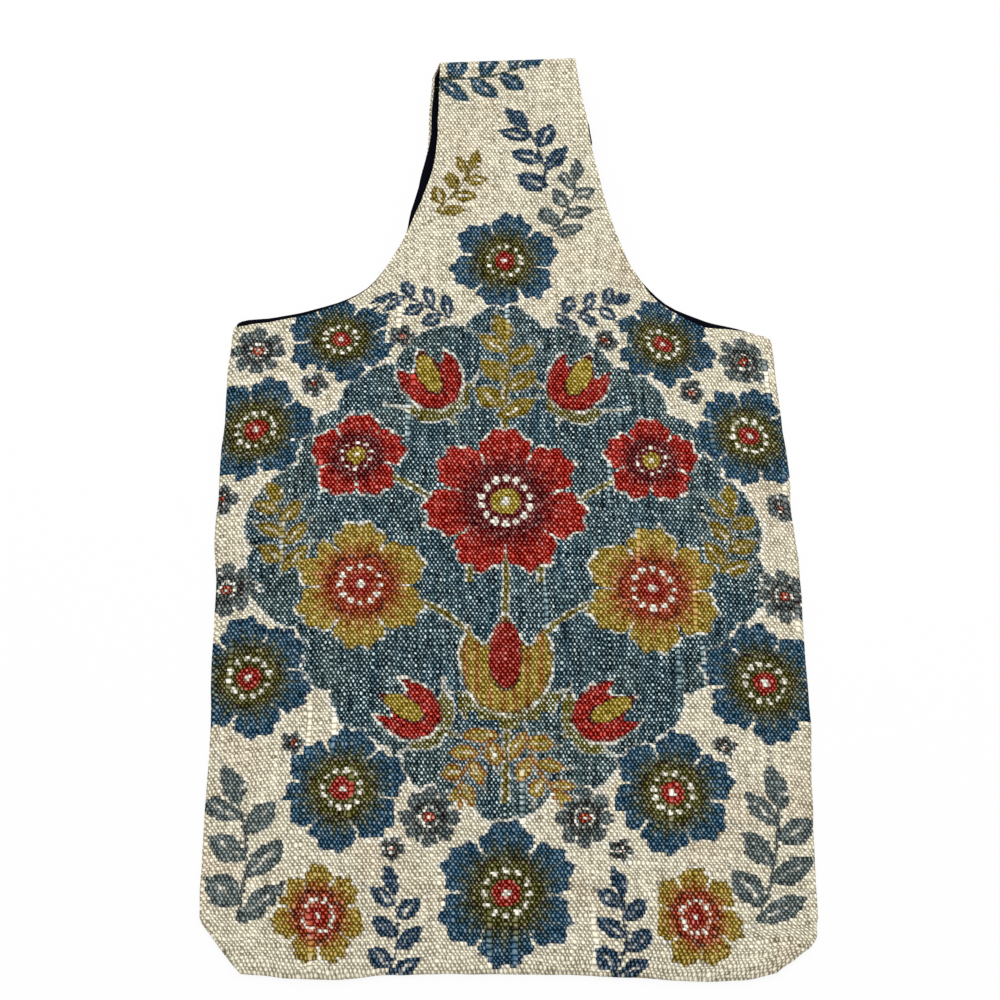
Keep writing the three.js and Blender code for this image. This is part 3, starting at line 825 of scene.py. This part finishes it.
def folded_edge(y, side, past):
    """Half width of the outer front, which becomes the back's on its way round the fold."""
    return mix(front_edge(y, side), back_edge(y, side), past)


def finish_cut(piece, material):
    """Gives a cut its cloth, sets its shape in the frame and hides the model's parts that it stands for."""
    piece.data.materials.append(material)
    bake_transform(piece)
    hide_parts(piece.name + "_panel", piece.name + "_strap")


outer_material = printed_cloth()
back_places = spread(0, *BODY_STRETCHES, (JOIN_LINE - JOIN_HALF, 26))
back_middle, back_flat = back_ply(back_places, OUTER_COLUMNS, back_level, back_edge)
outer_back, centres = cloth_slab("outer_back", back_middle, back_flat, OUTER_CLOTH)
stamp_motifs(outer_back.data, centres)

past_fold = FOLD_LINE + math.pi * OUTER_FOLD
front_places = spread(0, *BODY_STRETCHES, (FOLD_LINE, 28), (past_fold, 14),
                      (past_fold + JOIN_DROP - JOIN_HALF, 3))
front_middle, front_flat = front_ply(front_places, OUTER_COLUMNS, OUTER_FOLD, front_level, folded_edge)
outer_front, centres = cloth_slab("outer_front", front_middle, front_flat, OUTER_CLOTH)
stamp_motifs(outer_front.data, centres)

finish_cut(outer_back, outer_material)
finish_cut(outer_front, outer_material)

# Lining: two cuts of plain dark navy cotton of the same outline, sewn together as a bag of their own.
# It is joined to the outer cloth along the mouth and the strap, where the back lining rolls out
# to the edge.
LINING_FOLD = FOLD_RADIUS - OUTER_CLOTH - PLY_GAP - LINING_CLOTH / 2
LINING_COLUMNS = 24
FRONT_LINING_INSET = 1.2
LINING_ROLL = 0.4
LINING_EASE = 8
BARE_EDGE = ((255, 0), (264, 1.6), (270, 1.2), (276, 0), (345, 0), (380, 1.4))
SHOULDER_ROLL = ((262, 0), (266, 1.3), (268.5, 1.1), (271, 0.2), (276, 0.4), (284, 0))
RIGHT_PEEK = ((352, 0), (362, 2.1), (370, 2.1), (380, 0))
LINING_YARN = 0.42
# The lining's colour in the painted shade between its yarns, then on its lit crowns.
LINING_NAVY = (0.0018, 0.0019, 0.0042, 1)
LINING_LIT_CROWN = (0.0042, 0.0046, 0.0090, 1)


def lining_cloth():
    """Fine matt plain weave, painted a little paler on its lit yarn crowns than in the shade between them.
    """
    material, pen, shader = new_material("lining_cloth")
    u, v, _ = pen.node("ShaderNodeUVMap", {"uv_map": "cloth"}).split()
    pitch = math.pi / LINING_YARN
    weave = (u * pitch).math("SINE") * (v * pitch).math("SINE")
    crown = (weave + (streaks(u, v, 0.8, 30, 2.0) - 0.5)).step(-0.8, 0.9)
    plain(pen, LINING_NAVY).paint(LINING_LIT_CROWN, crown).feed(shader.inputs["Base Color"])
    inputs = {"Strength": 0.5, "Distance": 0.0001, "Height": crown}
    pen.node("ShaderNodeBump", {}, inputs).feed(shader.inputs["Normal"])
    shader.inputs["Roughness"].default_value = 0.9
    shader.inputs["Specular IOR Level"].default_value = 0.02
    return material


def side_inset(y, at_mouth):
    """How far the lining lies in from the outer's edge: the seam below, its own place at the mouth."""
    return mix(SEAM_INSET, at_mouth, smooth((y - BODY_HEIGHT + LINING_EASE) / LINING_EASE))


def back_lining_edge(y, side):
    bare = eased(y, BARE_EDGE) if side < 0 else 0
    roll = eased(y, SHOULDER_ROLL) if side < 0 else 0
    return back_edge(y - roll, side) - side_inset(y, -LINING_ROLL) - bare


def front_lining_edge(y, side, past):
    peek = eased(y, RIGHT_PEEK) if side > 0 else 0
    front = front_edge(y, side) - side_inset(y, FRONT_LINING_INSET) + peek
    return mix(front, back_lining_edge(y, side), past)


def on_outer_back(x, y):
    return np.full_like(x, OUTER_CLOTH + PLY_GAP + LINING_CLOTH / 2)


def under_crown(x, y):
    return PLY_STACK + linings_apart(x, y) + LINING_CLOTH / 2 + ripples(x, y)


lining_material = lining_cloth()
LINING_STRETCHES = [(CORNER_HEIGHT, 8), (250, 40), (264, 6), (BODY_HEIGHT, 6), (275, 12), (BEND_LINE, 14)]
lining_places = spread(SEAM_INSET, *LINING_STRETCHES, (JOIN_LINE - JOIN_HALF, 18))
middle, back_lining_flat = back_ply(lining_places, LINING_COLUMNS, on_outer_back, back_lining_edge)
lining_back, _ = cloth_slab("lining_back", middle, back_lining_flat, LINING_CLOTH)

past_fold = FOLD_LINE + math.pi * LINING_FOLD
lining_places = spread(SEAM_INSET, *LINING_STRETCHES, (FOLD_LINE, 18), (past_fold, 12),
                       (past_fold + JOIN_DROP - JOIN_HALF, 3))
middle, front_lining_flat = front_ply(lining_places, LINING_COLUMNS, LINING_FOLD, under_crown,
                                      front_lining_edge)
lining_front, _ = cloth_slab("lining_front", middle, front_lining_flat, LINING_CLOTH)

finish_cut(lining_back, lining_material)
finish_cut(lining_front, lining_material)

# Seams: rows of short lock stitches in matt two-ply thread, sewn from the inside before the bag was turned.
# Cream thread joins the outer cuts, and navy thread the lining and the open edges; longer stitches
# by hand close the gap in the lining's bottom through which the bag was turned.
THREAD = 0.3
STITCH_PITCH = 3
HAND_STITCH_PITCH = 5
STITCH_GAP = 0.4
THREAD_SIDES = 6
STITCH_SHARES = np.array([0, 0.06, 0.25, 0.5, 0.75, 0.94, 1])
STITCH_SWELL = np.array([0.3, 0.75, 1, 1, 1, 0.75, 0.3])
OUTER_STITCH_INSET = 1.85
OUTER_STITCH_RISE = 0.35
LINING_STITCH_INSET = 9.25
LINING_CORNER_FOOT = 12.3
MOUTH_STITCH_INSET = 0.85
MOUTH_STITCH_START = 3
SIDE_STITCH_END = 1.6
JOIN_STITCH_INSET = 1.5
STITCH_BREAK = 0.3
TURNING_HALF = 35
NEARLY_UP = np.array([0.12, 0.21, 1.0])
THREAD_TWIST = 0.55
# Each thread: the colour of its plies, then the painted shade in the groove between them.
CREAM_THREAD = ((0.62, 0.56, 0.44, 1), (0.40, 0.34, 0.25, 1))
NAVY_THREAD = ((0.016, 0.018, 0.032, 1), (0.007, 0.008, 0.015, 1))


def thread_material(name, pale, dark):
    """Two plies twisted together, with painted shade in the groove between them."""
    material, pen, shader = new_material(name)
    along, around, _ = pen.node("ShaderNodeUVMap", {"uv_map": "thread"}).split()
    ply = ((along / THREAD_TWIST + around * 2) * math.pi).math("SINE") ** 2
    plain(pen, dark).paint(pale, ply.step(0.05, 0.6)).feed(shader.inputs["Base Color"])
    inputs = {"Strength": 0.6, "Distance": 0.00005, "Height": ply}
    pen.node("ShaderNodeBump", {}, inputs).feed(shader.inputs["Normal"])
    shader.inputs["Roughness"].default_value = 0.75
    return material


def stitch_row(name, path, pitch):
    """A row of stitches along a path: each a short thread that thins to where it enters the cloth."""
    run = np.concatenate([[0], np.cumsum(np.linalg.norm(np.diff(path, axis=0), axis=1))])
    count = max(1, round(run[-1] / pitch))
    bounds = np.linspace(0, run[-1], count + 1)
    along = mix(bounds[:-1, None] + STITCH_GAP / 2, bounds[1:, None] - STITCH_GAP / 2, STITCH_SHARES)
    centre = np.stack([np.interp(along, run, path[:, axis]) for axis in range(3)], -1)
    way = unit(np.gradient(centre, axis=1))
    across_way = unit(np.cross(way, NEARLY_UP))
    up_way = np.cross(across_way, way)
    turns = np.arange(THREAD_SIDES + 1) / THREAD_SIDES
    swell = (STITCH_SWELL * THREAD / 2)[:, None, None]
    circle = turns[:-1, None] * 2 * math.pi
    ring = np.cos(circle) * across_way[:, :, None] + np.sin(circle) * up_way[:, :, None]
    vertices = (centre[:, :, None] + ring * swell).reshape(-1, 3)
    rings = len(STITCH_SHARES)
    index = np.arange(len(vertices)).reshape(count, rings, THREAD_SIDES)
    wrapped = np.concatenate([index, index[:, :, :1]], 2)
    low, high = wrapped[:, :-1], wrapped[:, 1:]
    quads = np.stack([low[:, :, :-1], low[:, :, 1:], high[:, :, 1:], high[:, :, :-1]], -1)
    faces = quads.reshape(-1, 4).tolist() + index[:, 0, ::-1].tolist() + index[:, -1].tolist()
    mesh = bpy.data.meshes.new(name)
    mesh.from_pydata(to_frame(laid(vertices)).tolist(), [], faces)
    mesh.shade_smooth()
    places = np.stack([np.repeat(along.ravel(), THREAD_SIDES), np.tile(turns[:-1], count * rings)], -1)
    corners = np.array([corner for face in faces for corner in face])
    mesh.uv_layers.new(name="thread").data.foreach_set("uv", places[corners].ravel())
    piece = bpy.data.objects.new(name, mesh)
    bpy.context.collection.objects.link(piece)
    return piece


def edge_path(side, low, high, inset, level):
    y = np.linspace(low, high, 40)
    return np.stack([side * (outline(y) - inset), y, np.full_like(y, level)], -1)


def level_path(start, end, y, level):
    x = np.linspace(start, end, 40)
    return np.stack([x, np.full_like(x, y), np.full_like(x, level)], -1)


def under_outer_front(x, y):
    return front_level(x, y) - OUTER_CLOTH / 2 - THREAD / 2


def over_outer_back(x, y):
    return np.full_like(x, OUTER_CLOTH + THREAD / 2)


def mouth_path(side, edge, level, heights):
    x = side * (edge(heights, side) - MOUTH_STITCH_INSET)
    return np.stack([x, heights, level(x, heights)], -1)


def strap_path(side):
    """Up the strap's front edge, round the fold and down its back edge."""
    climb = np.linspace(BEND_LINE + STITCH_BREAK, FOLD_LINE, 40)
    turn = np.linspace(0, math.pi, 14)[1:-1]
    radius = OUTER_FOLD - OUTER_CLOTH / 2 - THREAD / 2
    edges = folded_edge(FOLD_LINE, side, turn / math.pi)
    fold = np.stack([side * (edges - MOUTH_STITCH_INSET), FOLD_LINE + np.sin(turn) * radius,
                     FOLD_RADIUS + np.cos(turn) * radius], -1)
    front = mouth_path(side, front_edge, under_outer_front, climb)
    back = mouth_path(side, back_edge, over_outer_back, climb[::-1])
    return np.concatenate([front, fold, back])


outer_seam_level = OUTER_CLOTH + OUTER_STITCH_RISE
lining_seam_level = PLY_STACK + THREAD / 2
bottom_reach = float(outline(OUTER_STITCH_INSET)) - SEAM_INSET
lining_bottom_reach = float(outline(LINING_STITCH_INSET)) - LINING_STITCH_INSET
mouth_climb = np.linspace(BODY_HEIGHT + MOUTH_STITCH_START, BEND_LINE - STITCH_BREAK, 60)
corner_top = CORNER_HEIGHT - STITCH_BREAK
side_foot = CORNER_HEIGHT + STITCH_BREAK
cream_rows = {
    "outer_bottom_seam": level_path(-bottom_reach, bottom_reach, OUTER_STITCH_INSET, outer_seam_level),
}
navy_rows = {}
strap_rows = {}
for side, word in ((-1, "left"), (1, "right")):
    cream_rows |= {
        f"outer_side_seam_{word}":
            edge_path(side, side_foot, BODY_HEIGHT - SIDE_STITCH_END, OUTER_STITCH_INSET, outer_seam_level),
        f"outer_corner_seam_{word}":
            edge_path(side, SEAM_INSET, corner_top, OUTER_STITCH_INSET, outer_seam_level),
    }
    navy_rows |= {
        f"lining_side_seam_{word}":
            edge_path(side, side_foot, BODY_HEIGHT - SEAM_INSET, LINING_STITCH_INSET, lining_seam_level),
        f"lining_corner_seam_{word}":
            edge_path(side, LINING_CORNER_FOOT, corner_top, LINING_STITCH_INSET, lining_seam_level),
        f"lining_bottom_seam_{word}":
            level_path(side * (TURNING_HALF + STITCH_BREAK), side * lining_bottom_reach,
                       LINING_STITCH_INSET, lining_seam_level),
        f"mouth_seam_front_{word}": mouth_path(side, front_edge, under_outer_front, mouth_climb),
        f"mouth_seam_back_{word}": mouth_path(side, back_edge, over_outer_back, mouth_climb),
    }
    strap_rows[f"strap_edge_seam_{word}"] = strap_path(side)
turning_path = level_path(-TURNING_HALF, TURNING_HALF, LINING_STITCH_INSET, lining_seam_level)
join_reach = STRAP_WIDTH / 2 - JOIN_STITCH_INSET
outer_join_path = level_path(-join_reach, join_reach, JOIN_LINE, OUTER_CLOTH + THREAD / 2)
lining_join_path = level_path(-join_reach, join_reach, JOIN_LINE, PLY_STACK + THREAD / 2)

cream_material = thread_material("cream_thread", *CREAM_THREAD)
navy_material = thread_material("navy_thread", *NAVY_THREAD)
for rows, body, thread, material in (
        (cream_rows, "bag", "cream_thread", cream_material),
        (navy_rows, "bag", "navy_thread", navy_material),
        ({"lining_turning_stitch": turning_path}, "bag", "navy_thread", navy_material),
        (strap_rows, None, "navy_thread", navy_material),
        ({"outer_strap_join": outer_join_path}, "strap", "cream_thread", cream_material),
        ({"lining_strap_join": lining_join_path}, "strap", "navy_thread", navy_material)):
    for node, path in rows.items():
        pitch = HAND_STITCH_PITCH if node == "lining_turning_stitch" else STITCH_PITCH
        piece = stitch_row(node + "_stitches", path, pitch)
        piece.data.materials.append(material)
        if body:
            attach(piece, body)
        else:
            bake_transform(piece)
        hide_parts(node)

# Table: a plain white surface that keeps the bag's soft shadow but shows white to the camera.
# The bag lies on it with its back down.
TABLE_REACH = 4
TABLE_DROP = 0.0002
TABLE_WHITE = (0.86, 0.86, 0.86, 1)
WHITE_SHARE = 0.9
table_mesh = bpy.data.meshes.new("table")
corners = [(x * TABLE_REACH, y * TABLE_REACH, -TABLE_DROP) for x, y in ((-1, -1), (1, -1), (1, 1), (-1, 1))]
table_mesh.from_pydata(corners, [], [(0, 1, 2, 3)])
table = bpy.data.objects.new("table", table_mesh)
bpy.context.collection.objects.link(table)
table_material, pen, shader = new_material("table_white")
shader.inputs["Base Color"].default_value = TABLE_WHITE
shader.inputs["Roughness"].default_value = 0.9
shader.inputs["Specular IOR Level"].default_value = 0.1


def seen_directly(pen):
    """1 for rays that end at the eye, straight, mirrored or through glass."""
    rays = pen.node("ShaderNodeLightPath").socket.node.outputs
    seen = Wire(pen.tree, rays["Is Camera Ray"]).math("MAXIMUM", Wire(pen.tree, rays["Is Glossy Ray"]))
    return seen.math("MAXIMUM", Wire(pen.tree, rays["Is Transmission Ray"]))


glow = pen.node("ShaderNodeEmission", {}, {"Color": (1, 1, 1, 1), "Strength": 1.0})
inputs = {0: seen_directly(pen) * WHITE_SHARE, 1: Wire(pen.tree, shader.outputs[0]), 2: glow}
blended = pen.node("ShaderNodeMixShader", {}, inputs)
blended.feed(pen.tree.nodes["Material Output"].inputs["Surface"])
table_mesh.materials.append(table_material)

# Light: one wide soft panel above and behind the strap's end, and an even room around it.
# The room's light reaches the bag at a plain level, and its walls look white to the camera.
PANEL_PLACE = (0.05, 0.35, 1.15)
PANEL_SIDE = 1.3
PANEL_POWER = 11
ROOM_LIGHT = 0.6
panel = bpy.data.objects.new("soft_panel", bpy.data.lights.new("soft_panel", "AREA"))
panel.data.size = PANEL_SIDE
panel.data.energy = PANEL_POWER
panel.location = PANEL_PLACE
panel.rotation_euler = (-math.atan2(PANEL_PLACE[1], PANEL_PLACE[2]), 0, 0)
bpy.context.collection.objects.link(panel)
room = bpy.data.worlds.new("room")
room.use_nodes = True
bpy.context.scene.world = room
pen = Wire(room.node_tree)
lit = Wire(room.node_tree, room.node_tree.nodes["Background"].outputs[0])
room.node_tree.nodes["Background"].inputs["Color"].default_value = (1, 1, 1, 1)
room.node_tree.nodes["Background"].inputs["Strength"].default_value = ROOM_LIGHT
white = pen.node("ShaderNodeBackground", {}, {"Color": (1, 1, 1, 1), "Strength": 1.0})
blended = pen.node("ShaderNodeMixShader", {}, {0: seen_directly(pen), 1: lit, 2: white})
blended.feed(room.node_tree.nodes["World Output"].inputs["Surface"])
bpy.context.scene.view_settings.view_transform = "Standard"
